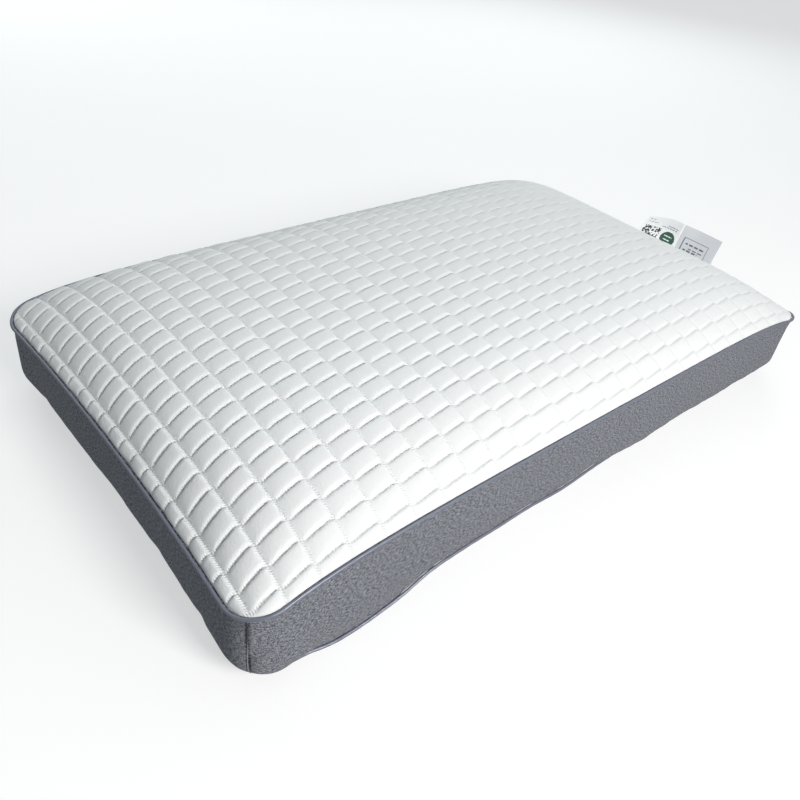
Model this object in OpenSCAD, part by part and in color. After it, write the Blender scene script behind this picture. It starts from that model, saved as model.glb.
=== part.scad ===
// Memory foam bed pillow with a removable quilted cover.
// The rest face is z = 0 and the origin is under the middle of the pillow.
// X runs along the long sides, -Y is the front and the zip is in the back gusset, at +Y.

/* [Pillow] */
// Length over the piping, along X
pillow_l = 700; // [600:10:800]
// Width over the piping, along Y
pillow_w = 400; // [350:10:450]
// Height of the crown above the rest face
pillow_h = 120; // [116:1:130]
// Radius of the corners, seen from above
corner_r = 30; // [26:1:50]
// Radius of the front corner at the end with the labels, which is worn rounder
worn_corner_r = 50; // [30:1:56]

/* [Crown] */
// How far the top falls from the crown to the left seam
fall_left = 50; // [40:1:56]
// How far the top falls from the crown to the right seam
fall_right = 56; // [40:1:60]
// How far the top falls from the crown to the front and back seams
fall_side = 32; // [24:1:36]
// How much less than both falls together the corners drop
fall_shared = 34; // [28:1:36]
// Distance over which the fall of the top dies away
fall_reach = 42; // [36:1:46]
// How far the front seam is pulled in between its corners
pull_front = 4; // [0:1:6]
// How far the seams at the two ends are pulled in between their corners
pull_end = 7; // [0:1:8]
// Rise of the bottom seam above the rest face at the front and back
rise_side = 14; // [10:1:16]
// Rise of the bottom seam above the rest face at the two ends
rise_end = 6; // [4:1:8]
// How much less than both rises together the bottom seam rises at the corners
rise_shared = 13; // [0:1:14]
// Distance from the bottom seam to where the underside lies flat
rise_reach = 46; // [40:1:60]
// How far the bottom seam is tucked in at the two ends
tuck_end = 16; // [8:1:18]
// How far the bottom seam is tucked in at the front and back
tuck_side = 3; // [1:1:5]
// Height below which the gusset curves in to the bottom seam
tuck_top = 34; // [30:1:36]

/* [Cover] */
// Thickness of the quilted panels in the middle
panel_t = 4; // [3:0.5:5]
// Thickness of the gusset fabric
gusset_t = 1.5; // [1:0.1:1.6]
// Outer radius of the piping
piping_r = 2; // [1.8:0.1:2.2]
// Thickness of the fabric of the piping
piping_t = 0.45; // [0.3:0.05:0.5]
// Radius of the cord in the piping
cord_r = 1.25; // [1:0.05:1.3]
// Depth of the seam allowances, measured in from the edge of the pillow
allowance = 10; // [8:1:11]

/* [Filling] */
// Gap between the edge of the pillow and the inner cover
core_inset = 8; // [7.5:0.5:9]
// Thickness of the inner cover
sock_t = 0.8; // [0.6:0.1:1]
// Gap between layers that lie on each other
layer_gap = 0.3; // [0.2:0.05:0.4]

/* [Zip] */
// Height of the middle of the zip above the rest face
zip_z = 52; // [50:1:54]
// Length of the coils
zip_l = 530; // [520:2:540]
// Height of the window between the two back gussets
zip_window = 13; // [13:0.5:15]
// Width of each tape, from the middle of the zip
tape_w = 14; // [12:1:16]
// Gap between the two coils
coil_gap = 0.7; // [0.6:0.1:0.9]
// Length of the slider
slider_l = 12; // [10:1:14]
// Height of the slider
slider_w = 10.4; // [10:0.2:11]
// Radius of the hinge pin on the slider
pin_r = 0.75; // [0.7:0.05:0.8]
// Radial clearance between the pull and its pin
pin_clearance = 0.05; // [0.03:0.01:0.08]
// Length of the pull below its pin
pull_l = 24; // [20:1:26]

/* [Labels] */
// Width of the care label along the seam
care_label_w = 57; // [50:1:60]
// Length of the care label
care_label_l = 36; // [32:1:40]
// Width of the plain label along the seam
plain_label_w = 48; // [42:1:52]
// Length of the plain label
plain_label_l = 36; // [32:1:40]

/* [Hidden] */

// Half sizes of the top outline, and of the tucked-in bottom outline
half_l = pillow_l / 2;
half_w = pillow_w / 2;
low_half_l = half_l - tuck_end;
low_half_w = half_w - tuck_side;

// Steps round one corner, along one long side and along one short side
CORNER_STEPS = 6;
LONG_STEPS = 12;
SHORT_STEPS = 6;
// Stations go round the outline once, from the left side's front corner through the front
FRONT_AT = CORNER_STEPS;
RIGHT_CORNER_AT = FRONT_AT + LONG_STEPS;
RIGHT_AT = RIGHT_CORNER_AT + CORNER_STEPS;
BACK_CORNER_AT = RIGHT_AT + SHORT_STEPS;
BACK_AT = BACK_CORNER_AT + CORNER_STEPS;
LEFT_CORNER_AT = BACK_AT + LONG_STEPS;
LEFT_AT = LEFT_CORNER_AT + CORNER_STEPS;
STATIONS = LEFT_AT + SHORT_STEPS;
// The front gusset ends on the front corners, this many steps round from the short sides
JOIN_STEPS = 4;
// The zip panel ends on the back side, this many steps in from its corners
ZIP_JOIN_STEPS = 2;

// Where the seams and the wall lie, as distances in from the edge of the pillow
panel_inset = 2 * piping_r;
wall_inset = piping_r + 0.2;
// How far the seam lies below the surface of the panel's edge
seam_drop = piping_r + 0.2;
// Smallest corner radius of the inner rings of a panel
MIN_R = 8;
// Height of the straight stretch of wall over the bottom seam
LOW_WALL = 7;
// Half of the seam between the two tails of the piping, and room for a panel or flange over them
tail_gap = 0.05;
seam_room = tail_gap + piping_t + 0.3;

// ---- points on the outline ----

// Fractions along a side: steps bunch up towards the corners
function along(i, n) = (1 - cos(180 * i / n)) / 2;

// Point on a corner: its centre is r in from the sides, and the arc starts at an angle
function on_corner(side_x, side_y, a, b, r, start, step) =
  let (t = start + 90 * step / CORNER_STEPS)
  [side_x * (a - r) + r * cos(t), side_y * (b - r) + r * sin(t)];

// Point at a station on a rounded rectangle of half sizes a and b, with rounder corner q
function outline(k, a, b, r, q) =
  let (s = k % STATIONS)
  s < FRONT_AT ? on_corner(-1, -1, a, b, r, 180, s) :
  s < RIGHT_CORNER_AT ? [r - a + (2 * a - r - q) * along(s - FRONT_AT, LONG_STEPS), -b] :
  s < RIGHT_AT ? on_corner(1, -1, a, b, q, 270, s - RIGHT_CORNER_AT) :
  s < BACK_CORNER_AT ? [a, q - b + (2 * b - r - q) * along(s - RIGHT_AT, SHORT_STEPS)] :
  s < BACK_AT ? on_corner(1, 1, a, b, r, 0, s - BACK_CORNER_AT) :
  s < LEFT_CORNER_AT ? [a - r - 2 * (a - r) * along(s - BACK_AT, LONG_STEPS), b] :
  s < LEFT_AT ? on_corner(-1, 1, a, b, r, 90, s - LEFT_CORNER_AT) :
  [-a, b - r - 2 * (b - r) * along(s - LEFT_AT, SHORT_STEPS)];

// The front and the two ends bow in a little between the corners, the back with the zip doesn't
function bow(u, power) = 1 - pow(u, power);
function pulled(p) =
  let (u = abs(p[0]) / half_l, v = abs(p[1]) / half_w)
  [p[0] - sign(p[0]) * pull_end * bow(v, 2) * pow(u, 3),
    p[1] + (p[1] < 0 ? pull_front * bow(u, 4) * pow(v, 3) : 0)];

function inset_outline(k, a, b, d) =
  outline(k, a - d, b - d, max(corner_r - d, MIN_R), max(worn_corner_r - d, MIN_R));
function top_flat(k, d) = inset_outline(k, half_l, half_w, d);
function low_flat(k, d) = inset_outline(k, low_half_l, low_half_w, d);
function top_xy(k, d) = pulled(top_flat(k, d));
function low_xy(k, d) = pulled(low_flat(k, d));

// ---- heights ----

function fade(d) = exp(-d / fall_reach);
// Height of the top surface over a point of the outline before it is pulled in
function top_z(p) =
  let (left = fade(half_l + p[0]), right = fade(half_l - p[0]),
    sides = fade(half_w + p[1]) + fade(half_w - p[1]))
  pillow_h - fall_left * left - fall_right * right - fall_side * sides
  + fall_shared * (left + right) * sides;
function top_point(k, d, drop) =
  let (p = top_xy(k, d))
  [p[0], p[1], top_z(top_flat(k, d)) - drop];

function curl(d) = pow(max(0, 1 - d / rise_reach), 2);
// Height of the underside over a point of the outline before it is pulled in
function low_z(p) =
  let (end = curl(low_half_l - abs(p[0])), side = curl(low_half_w - abs(p[1])))
  rise_end * end + rise_side * side - rise_shared * end * side;
function low_point(k, d, raised) =
  let (p = low_xy(k, d))
  [p[0], p[1], low_z(low_flat(k, d)) + raised];

// Heights of the two seams at a station
function top_seam(k) = top_z(top_flat(k, panel_inset)) - seam_drop;
function low_seam(k) = low_z(low_flat(k, panel_inset)) + seam_drop;

// How far round from the top outline to the bottom outline the wall is at a height
function tuck(k, z) =
  let (s = (tuck_top - z) / (tuck_top - low_seam(k) - LOW_WALL))
  pow(min(1, max(0, s)), 2);

// A point of the wall, d in from the edge, at a height
function wall_point(k, d, z) =
  let (p = top_xy(k, d), q = low_xy(k, d), w = tuck(k, z))
  [p[0] + w * (q[0] - p[0]), p[1] + w * (q[1] - p[1]), z];

// ---- shells between two grids of points ----

function flat(rows) = [for (row = rows) for (p = row) p];

// Triangles of a grid of points, from its first index, seen from one side or the other
function grid_faces(first, rows, cols, loop, turned) = [
  for (k = [0 : rows - (loop ? 1 : 2)]) for (i = [0 : cols - 2])
    let (a = first + k * cols + i, b = first + ((k + 1) % rows) * cols + i)
    for (t = turned ? [[a, a + 1, b + 1], [a, b + 1, b]] : [[a, b + 1, a + 1], [a, b, b + 1]]) t];

// Triangles of the strip that joins one edge of two grids
function rim_faces(rows, cols, i, loop, turned) =
  let (n = rows * cols)
  [for (k = [0 : rows - (loop ? 1 : 2)])
    let (a = k * cols + i, b = ((k + 1) % rows) * cols + i)
    for (t = turned ? [[a, b, n + b], [a, n + b, n + a]] : [[a, n + b, b], [a, n + a, n + b]]) t];

// Triangles that close one end of two grids that don't run in a loop
function end_faces(rows, cols, k, turned) =
  let (n = rows * cols)
  [for (i = [0 : cols - 2])
    let (a = k * cols + i)
    for (t = turned ? [[a, n + a + 1, a + 1], [a, n + a, n + a + 1]]
      : [[a, a + 1, n + a + 1], [a, n + a + 1, n + a]]) t];

// Solid between an outer and an inner grid of points
module shell(outer, inner, loop) {
  rows = len(outer);
  cols = len(outer[0]);
  polyhedron(concat(flat(outer), flat(inner)), concat(
    grid_faces(0, rows, cols, loop, false),
    grid_faces(rows * cols, rows, cols, loop, true),
    rim_faces(rows, cols, 0, loop, false),
    rim_faces(rows, cols, cols - 1, loop, true),
    loop ? [] : concat(end_faces(rows, cols, 0, false), end_faces(rows, cols, rows - 1, true))));
}

// Solid between two dished grids that loop round a middle, closed by fans at the middle
module dish(outer, inner, outer_mid, inner_mid) {
  rows = len(outer);
  cols = len(outer[0]);
  n = rows * cols;
  fan_outer = [for (k = [0 : rows - 1])
    [((k + 1) % rows) * cols + cols - 1, k * cols + cols - 1, 2 * n]];
  fan_inner = [for (k = [0 : rows - 1])
    [n + k * cols + cols - 1, n + ((k + 1) % rows) * cols + cols - 1, 2 * n + 1]];
  polyhedron(concat(flat(outer), flat(inner), [outer_mid, inner_mid]), concat(
    grid_faces(0, rows, cols, true, true),
    grid_faces(n, rows, cols, true, false),
    rim_faces(rows, cols, 0, true, true),
    fan_outer, fan_inner));
}

// Closed solid from one grid that loops round, with fans at both ends
module closed_body(grid, first_mid, last_mid) {
  rows = len(grid);
  cols = len(grid[0]);
  n = rows * cols;
  fan_first = [for (k = [0 : rows - 1]) [k * cols, ((k + 1) % rows) * cols, n]];
  fan_last = [for (k = [0 : rows - 1])
    [((k + 1) % rows) * cols + cols - 1, k * cols + cols - 1, n + 1]];
  polyhedron(concat(flat(grid), [first_mid, last_mid]),
    concat(grid_faces(0, rows, cols, true, true), fan_first, fan_last));
}

// ---- the filling ----

// Rings of the inner cover, as distances in from the edge of the pillow
RING_INSETS = [15, 25, 45, 80, 130, 180];
// Depth of the inner cover below the panel
sock_drop = panel_t + 2.2;
// Height at which the two halves of the inner cover meet
split_z = 42;
// Profiles of the two halves, e in from their outside

function upside_down(p) = [p[0], p[1], -p[2]];
function without_first(list) = [for (i = [1 : len(list) - 1]) list[i]];
function reversed(list) = [for (i = [len(list) - 1 : -1 : 0]) list[i]];
all_stations = [for (k = [0 : STATIONS - 1]) k];

function upper_sock(k, e) = concat(
  [wall_point(k, core_inset + e, split_z + layer_gap / 2),
    wall_point(k, core_inset + e, (split_z + top_seam(k) - 6) / 2),
    wall_point(k, core_inset + 1.5 + e, top_seam(k) - 6 - e)],
  [for (d = RING_INSETS) top_point(k, d + e, sock_drop + e)]);

function lower_sock(k, e) = concat(
  [for (d = reversed(RING_INSETS)) low_point(k, d + e, sock_drop + e)],
  [wall_point(k, core_inset + 2 + e, low_seam(k) + 8 + e),
    wall_point(k, core_inset + e, low_seam(k) + 16),
    wall_point(k, core_inset + e, split_z - layer_gap / 2)]);

crown_z = top_z([0, 0]);
crown_mid = crown_z - sock_drop;

module foam_core() {
  e = sock_t + 2 * layer_gap;
  grid = [for (k = all_stations) concat(lower_sock(k, e), without_first(upper_sock(k, e)))];
  color("ivory")
  closed_body(grid, [0, 0, sock_drop + e], [0, 0, crown_mid - e]);
}

module inner_cover_upper() {
  outer = [for (k = all_stations) upper_sock(k, 0)];
  inner = [for (k = all_stations) upper_sock(k, sock_t)];
  color("whitesmoke")
  dish(outer, inner, [0, 0, crown_mid], [0, 0, crown_mid - sock_t]);
}

module inner_cover_lower() {
  outer = [for (k = all_stations) reversed(lower_sock(k, 0))];
  inner = [for (k = all_stations) reversed(lower_sock(k, sock_t))];
  color("whitesmoke")
  mirror([0, 0, 1])
  dish(
    [for (row = outer) [for (p = row) upside_down(p)]],
    [for (row = inner) [for (p = row) upside_down(p)]],
    [0, 0, -sock_drop], [0, 0, -sock_drop - sock_t]);
}

// ---- the quilted panels ----

// Distance over which a panel swells from its pressed edge to its full thickness
PANEL_SWELL = 14;
// Rings of a panel, as distances in from the edge of the pillow, and its thickness at each
PANEL_RINGS = [panel_inset, panel_inset + 4, 15, 25, 40, 62, 95, 140, 185];
function panel_thickness(d) =
  panel_t - (panel_t - seam_drop + seam_room) * exp(-(d - panel_inset) / PANEL_SWELL);

module top_panel() {
  outer = [for (k = all_stations) [for (d = PANEL_RINGS) top_point(k, d, 0)]];
  inner = [for (k = all_stations) [for (d = PANEL_RINGS) top_point(k, d, panel_thickness(d))]];
  color("white")
  dish(outer, inner, [0, 0, crown_z], [0, 0, crown_z - panel_t]);
}

module bottom_panel() {
  outer = [for (k = all_stations) [for (d = PANEL_RINGS) upside_down(low_point(k, d, 0))]];
  inner = [for (k = all_stations) [for (d = PANEL_RINGS)
    upside_down(low_point(k, d, panel_thickness(d)))]];
  color("white")
  mirror([0, 0, 1])
  dish(outer, inner, [0, 0, 0], [0, 0, -panel_t]);
}

// ---- the gussets ----

// Outside of a gusset near the top seam: the allowance, the turn under the piping, the wall
function top_edge(k, t) =
  let (z = top_seam(k) - seam_room)
  [wall_point(k, allowance, z - t), wall_point(k, panel_inset + 0.3 + t, z - t),
    wall_point(k, wall_inset + 0.4 + t, z - 2 - t), wall_point(k, wall_inset + t, z - 5.4 - t / 2)];

function low_edge(k, t) =
  let (z = low_seam(k) + seam_room)
  [wall_point(k, wall_inset + t, z + 5.4 + t / 2), wall_point(k, wall_inset + 0.4 + t, z + 2 + t),
    wall_point(k, panel_inset + 0.3 + t, z + t), wall_point(k, allowance, z + t)];

// Heights of the wall between the two edges
function wall_heights(k) = let (lo = low_seam(k) + 6)
  [tuck_top + 4, (tuck_top + lo) / 2 + 3, (tuck_top + 2 * lo) / 3];

module gusset_piece(first, last) {
  rows = [for (k = [first : last]) k];
  color("dimgray")
  shell(
    [for (k = rows) concat(top_edge(k, 0),
      [for (z = wall_heights(k)) wall_point(k, wall_inset, z)], low_edge(k, 0))],
    [for (k = rows) concat(top_edge(k, gusset_t),
      [for (z = wall_heights(k)) wall_point(k, wall_inset + gusset_t, z)], low_edge(k, gusset_t))],
    false);
}

module gusset_front() gusset_piece(JOIN_STEPS, RIGHT_AT - JOIN_STEPS);
module gusset_right() gusset_piece(RIGHT_AT - JOIN_STEPS, BACK_AT + ZIP_JOIN_STEPS);
module gusset_left() gusset_piece(LEFT_CORNER_AT - ZIP_JOIN_STEPS, STATIONS + JOIN_STEPS);

BACK_STATIONS = [for (k = [BACK_AT + ZIP_JOIN_STEPS : LEFT_CORNER_AT - ZIP_JOIN_STEPS]) k];

module gusset_back_upper() {
  edge = zip_z + zip_window / 2;
  color("dimgray")
  shell(
    [for (k = BACK_STATIONS) concat(top_edge(k, 0), [wall_point(k, wall_inset, edge)])],
    [for (k = BACK_STATIONS) concat(top_edge(k, gusset_t), [wall_point(k, wall_inset + gusset_t, edge)])],
    false);
}

module gusset_back_lower() {
  edge = zip_z - zip_window / 2;
  color("dimgray")
  shell(
    [for (k = BACK_STATIONS) concat([wall_point(k, wall_inset, edge)],
      [for (z = wall_heights(k)) wall_point(k, wall_inset, z)], low_edge(k, 0))],
    [for (k = BACK_STATIONS) concat([wall_point(k, wall_inset + gusset_t, edge)],
      [for (z = wall_heights(k)) wall_point(k, wall_inset + gusset_t, z)], low_edge(k, gusset_t))],
    false);
}

// ---- the piping ----

// Angles from the upper tail round the outside of the cord to the lower tail
COVER_ANGLES = [150, 105, 60, 20, -20, -60, -105, -150];
CORD_SIDES = 8;

// Point d in from the edge and h above the seam, on the top or the bottom outline
function seam_point(k, d, h, top) =
  let (p = top ? top_xy(k, d) : low_xy(k, d))
  [p[0], p[1], (top ? top_seam(k) : low_seam(k)) + h];

function cover_row(k, r, tail, top) = concat(
  [seam_point(k, allowance, tail, top), seam_point(k, panel_inset + 0.2, tail, top)],
  [for (t = COVER_ANGLES) seam_point(k, piping_r - r * cos(t), r * sin(t), top)],
  [seam_point(k, panel_inset + 0.2, -tail, top), seam_point(k, allowance, -tail, top)]);

module piping_cover(top) {
  outer = [for (k = all_stations) cover_row(k, piping_r, tail_gap + piping_t, top)];
  inner = [for (k = all_stations) cover_row(k, piping_r - piping_t, tail_gap, top)];
  color("silver")
  shell(outer, inner, true);
}

module piping_cord(top) {
  rows = [for (k = all_stations) [for (i = [0 : CORD_SIDES - 1])
    let (t = -360 * i / CORD_SIDES)
    seam_point(k, piping_r - cord_r * cos(t), cord_r * sin(t), top)]];
  n = STATIONS;
  color("white")
  polyhedron(flat(rows), [for (k = [0 : n - 1]) for (i = [0 : CORD_SIDES - 1])
    let (j = (i + 1) % CORD_SIDES, a = k * CORD_SIDES, b = ((k + 1) % n) * CORD_SIDES)
    for (t = [[a + i, b + j, a + j], [a + i, b + i, b + j]]) t]);
}

module top_piping_cover() piping_cover(true);
module top_piping_cord() piping_cord(true);
module bottom_piping_cover() piping_cover(false);
module bottom_piping_cord() piping_cord(false);

// ---- the zip, in the straight wall at the back ----

wall_y = half_w - wall_inset;
tape_t = 0.6;
tape_out_y = wall_y - gusset_t - layer_gap;
tape_in_y = tape_out_y - tape_t;
// Where the back gusset meets the end gussets, and tapes that reach past it
join_x = top_xy(BACK_AT + ZIP_JOIN_STEPS, wall_inset)[0];
tape_l = 2 * join_x + 14;
coil_t = 2.1;
coil_h = 2.3;
coil_in_y = tape_out_y + 0.1;
coil_out_y = coil_in_y + coil_t;

// Box between two corners
module box(lo, hi) {
  translate(lo)
  cube(hi - lo);
}

module tape_half(side) {
  color("slategray")
  translate([0, 0, zip_z])
  mirror([0, 0, side < 0 ? 1 : 0])
  box([-tape_l / 2, tape_in_y, 1.3], [tape_l / 2, tape_out_y, tape_w]);
}

module coil_half(side) {
  color("darkslategray")
  translate([0, 0, zip_z])
  mirror([0, 0, side < 0 ? 1 : 0])
  box([-zip_l / 2, coil_in_y, coil_gap / 2], [zip_l / 2, coil_out_y, coil_gap / 2 + coil_h]);
}

module zip_tape_upper() tape_half(1);
module zip_tape_lower() tape_half(-1);
module zip_coil_upper() coil_half(1);
module zip_coil_lower() coil_half(-1);

stop_l = 3.5;
module zip_end_stops() {
  x = zip_l / 2 + 0.3;
  color("silver")
  translate([0, 0, zip_z])
  {
    box([x, coil_in_y, 0.4], [x + stop_l, coil_out_y + 0.3, 3.4]);
    box([x, coil_in_y, -3.4], [x + stop_l, coil_out_y + 0.3, -0.4]);
    box([-x - stop_l, coil_in_y, -3.4], [-x, coil_out_y + 0.3, 3.4]);
  }
}

// The slider at rest stands at the closed end, just inside the end stops
slider_x = zip_l / 2 - slider_l / 2 - 1;
plate_t = 0.8;
plate_in_y = coil_out_y + 0.5;
plate_out_y = plate_in_y + plate_t;
back_plate_y = tape_in_y - 0.7;
// The pull's eye turns on a pin between two lugs
eye_r = 1.7;
pin_y = plate_out_y + eye_r + 0.3;
lug_gap = 5.2;
lug_t = 1;
eye_l = 4.4;

module zip_slider() {
  w = slider_w / 2;
  color("dimgray")
  translate([slider_x, 0, zip_z])
  union() {
    // Outer plate with a rounded nose at both ends
    intersection() {
      box([-slider_l / 2, plate_in_y, -w], [slider_l / 2, plate_out_y, w]);
      rotate([-90, 0, 0])
      cylinder(r = 7.2, h = 2 * half_w, $fn = 64);
    }
    intersection() {
      box([-slider_l / 2, back_plate_y - plate_t, -w], [slider_l / 2, back_plate_y, w]);
      rotate([-90, 0, 0])
      cylinder(r = 7.2, h = 2 * half_w, $fn = 64);
    }
    // Flanges that keep the coils in
    for (z = [-w, w - 1])
      box([-4, tape_out_y + 0.6, z], [4, plate_in_y + 0.1, z + 1]);
    // Blade between the coils that joins the two plates
    box([1, back_plate_y - plate_t / 2, -0.2], [5, plate_out_y - plate_t / 2, 0.2]);
    // Lugs and the hinge pin
    for (x = [-lug_gap / 2 - lug_t, lug_gap / 2])
      box([x, plate_out_y - 0.1, -1.2], [x + lug_t, pin_y + 0.95, 1.2]);
    translate([-lug_gap / 2 - lug_t / 2, pin_y, 0])
    rotate([0, 90, 0])
    cylinder(r = pin_r, h = lug_gap + lug_t, $fn = 48);
  }
}

module zip_pull() {
  tab_t = 1.2;
  tab_w = 7;
  color("dimgray")
  translate([slider_x, pin_y, zip_z])
  difference() {
    union() {
      translate([-eye_l / 2, 0, 0])
      rotate([0, 90, 0])
      cylinder(r = eye_r, h = eye_l, $fn = 48);
      // Neck, then the wider tab with a round end
      box([-eye_l / 2, -tab_t / 2, -6], [eye_l / 2, tab_t / 2, 0]);
      box([-tab_w / 2, -tab_t / 2, -pull_l + tab_w / 2], [tab_w / 2, tab_t / 2, -5]);
      translate([0, tab_t / 2, -pull_l + tab_w / 2])
      rotate([90, 0, 0])
      cylinder(d = tab_w, h = tab_t, $fn = 64);
    }
    translate([-eye_l, 0, 0])
    rotate([0, 90, 0])
    cylinder(r = pin_r + pin_clearance, h = 2 * eye_l, $fn = 48);
  }
}

// ---- the labels, sewn into the top seam at the right end ----

label_t = 0.3;
LABEL_ROWS = 4;
// Edge of the top panel along the right end
RIGHT_EDGE = [for (k = [RIGHT_AT : BACK_CORNER_AT]) top_point(k, panel_inset, seam_drop)];
edge_x = [for (p = RIGHT_EDGE) [p[1], p[0]]];
edge_z = [for (p = RIGHT_EDGE) [p[1], p[2]]];
// Where a label leaves the top seam of the right end, between the panel and the piping
function label_root(y) = [lookup(y, edge_x) + 0.4, lookup(y, edge_z) + 1.9];

// Path of a label out of the seam: straight up past the piping, then leaning out by an angle
function label_path(y, length, lean, bend, off) =
  let (root = label_root(y))
  concat(
    [[root[0] + off, y, root[1]], [root[0] + off, y, root[1] + 2]],
    [for (i = [1 : 5])
      let (s = i / 5, a = lean - bend * s * s / 3, n = lean - bend * s * s)
      [root[0] + length * s * cos(a) + off * sin(n), y,
        root[1] + 2 + length * s * sin(a) - off * cos(n)]]);

// The lean goes from one angle at the front edge to another at the back edge
module label(y_low, width, length, leans, bend) {
  rows = [for (i = [0 : LABEL_ROWS]) let (s = i / LABEL_ROWS)
    [y_low + width * s, leans[0] + s * (leans[1] - leans[0])]];
  color("gainsboro")
  shell(
    [for (r = rows) label_path(r[0], length, r[1], bend, -label_t / 2)],
    [for (r = rows) label_path(r[0], length, r[1], bend, label_t / 2)],
    false);
}

label_split_y = -28;
module care_label() label(label_split_y + 1, care_label_w, care_label_l, [78, 30], 6);
module plain_label() label(label_split_y - 1 - plain_label_w, plain_label_w, plain_label_l, [78, 76], 10);

foam_core();
inner_cover_upper();
inner_cover_lower();
top_panel();
bottom_panel();
gusset_front();
gusset_left();
gusset_right();
gusset_back_upper();
gusset_back_lower();
top_piping_cover();
top_piping_cord();
bottom_piping_cover();
bottom_piping_cord();
zip_tape_upper();
zip_tape_lower();
zip_coil_upper();
zip_coil_lower();
zip_end_stops();
zip_slider();
zip_pull();
care_label();
plain_label();
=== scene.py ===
"""Memory foam bed pillow: the look of its cover, zip and labels, in metres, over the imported
frame."""

import bpy
import numpy as np
from mathutils import Matrix, Vector


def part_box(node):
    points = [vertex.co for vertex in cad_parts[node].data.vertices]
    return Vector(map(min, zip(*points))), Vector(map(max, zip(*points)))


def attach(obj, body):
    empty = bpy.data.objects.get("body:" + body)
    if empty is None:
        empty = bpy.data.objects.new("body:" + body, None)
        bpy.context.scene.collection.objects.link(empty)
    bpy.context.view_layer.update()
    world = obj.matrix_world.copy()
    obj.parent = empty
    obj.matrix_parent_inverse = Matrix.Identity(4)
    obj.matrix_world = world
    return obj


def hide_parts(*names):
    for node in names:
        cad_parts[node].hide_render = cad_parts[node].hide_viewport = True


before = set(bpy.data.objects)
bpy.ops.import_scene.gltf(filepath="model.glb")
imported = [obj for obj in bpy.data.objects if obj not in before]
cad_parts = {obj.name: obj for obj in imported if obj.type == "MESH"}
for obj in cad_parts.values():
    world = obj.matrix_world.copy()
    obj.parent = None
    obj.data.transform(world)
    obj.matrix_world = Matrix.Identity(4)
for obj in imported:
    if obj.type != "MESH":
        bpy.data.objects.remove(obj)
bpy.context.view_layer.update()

# ---- sizes of the cover, as in the part's source ----

MM = 0.001
HALF_L, HALF_W = 0.350, 0.200
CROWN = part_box("top_panel")[1].z
# Corner radii: front left, front right (worn rounder), back right, back left
RADII = np.array([0.030, 0.050, 0.030, 0.030])
MIN_R = 0.008
FALL_LEFT, FALL_RIGHT, FALL_SIDE, FALL_SHARED, FALL_REACH = 0.050, 0.056, 0.032, 0.034, 0.042
PULL_FRONT, PULL_END = 0.004, 0.007
RISE_END, RISE_SIDE, RISE_SHARED, RISE_REACH = 0.006, 0.014, 0.013, 0.046
TUCK_END, TUCK_SIDE, TUCK_TOP, LOW_WALL = 0.016, 0.003, 0.034, 0.007
PIPING_R = 0.0013
PIPING_INSET = 0.0019
CORD_R = 0.0009
PANEL_INSET, SEAM_DROP, WALL_INSET = 0.004, 0.0022, 0.0022
# The gussets meet here, counted round the outline: one for each corner and one for each side
JOIN_FRONT_LEFT, JOIN_FRONT_RIGHT = 0.46, 2 + 2 / 6
ZIP_JOIN = (1 - np.cos(np.pi / 6)) / 2
JOIN_BACK_RIGHT, JOIN_BACK_LEFT = 5 + ZIP_JOIN, 6 - ZIP_JOIN
# Quilting: pitch of the stitched lines along X and along Y, and the line nearest the middle
PITCH_X, PITCH_Y = 0.0265, 0.0176
ORIGIN_X, ORIGIN_Y = 11.09, 8.82

SIGN_X = np.array([-1, 1, 1, -1])
SIGN_Y = np.array([-1, -1, 1, 1])


# ---- the shape of the cover ----


def outline(q, half_l, half_w, inset):
    """Points of a rounded rectangle, inset from its edge. q runs from 0 to 8: each corner's
    quarter turn is an even stretch and the side after it an odd one, from the front left
    corner."""
    q = np.asarray(q, float) % 8
    corner = (q // 2).astype(int)
    following = (corner + 1) % 4
    turn = np.minimum(q - 2 * corner, 1)
    side = np.maximum(q - 2 * corner - 1, 0)
    a, b = half_l - inset, half_w - inset

    def on_corner(c, angle):
        r = np.maximum(RADII[c] - inset, MIN_R)
        return SIGN_X[c] * (a - r) + r * np.cos(angle), SIGN_Y[c] * (b - r) + r * np.sin(angle)

    x, y = on_corner(corner, np.pi * (1 + corner / 2 + turn / 2))
    next_x, next_y = on_corner(following, np.pi * (1 + (corner + 1) / 2))
    return x + side * (next_x - x), y + side * (next_y - y)


def pulled(x, y):
    """The ends and the front bow in between the corners: x moves in by (1 - v²)u³ and the
    front's y by (1 - u⁴)v³, with u and v the shares of the half sizes."""
    u, v = np.abs(x) / HALF_L, np.abs(y) / HALF_W
    return (
        x - np.sign(x) * PULL_END * (1 - v**2) * u**3,
        y + np.where(y < 0, PULL_FRONT * (1 - u**4) * v**3, 0),
    )


def fade(distance):
    return np.exp(-distance / FALL_REACH)


MIDDLE_FALL = (FALL_LEFT + FALL_RIGHT) * fade(HALF_L) + 2 * FALL_SIDE * fade(HALF_W)


# A shallow hollow in the crown beside the labels: its middle, reaches and depth
HOLLOW_X, HOLLOW_Y, HOLLOW_L, HOLLOW_W, HOLLOW_DEPTH = 0.300, 0.045, 0.060, 0.120, 0.003


def crown_z(x, y):
    """Height of the crown: flat, falling towards each edge as exp(-distance / reach), less
    where two falls meet."""
    left, right = fade(HALF_L + x), fade(HALF_L - x)
    sides = fade(HALF_W + y) + fade(HALF_W - y)
    fall = FALL_LEFT * left + FALL_RIGHT * right + FALL_SIDE * sides
    return CROWN + MIDDLE_FALL - fall + FALL_SHARED * (left + right) * sides


def top_z(x, y):
    """Height of the top: the crown less a bell-shaped hollow."""
    bell = np.exp(-(((x - HOLLOW_X) / HOLLOW_L) ** 2) - ((y - HOLLOW_Y) / HOLLOW_W) ** 2)
    return crown_z(x, y) - HOLLOW_DEPTH * bell


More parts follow.
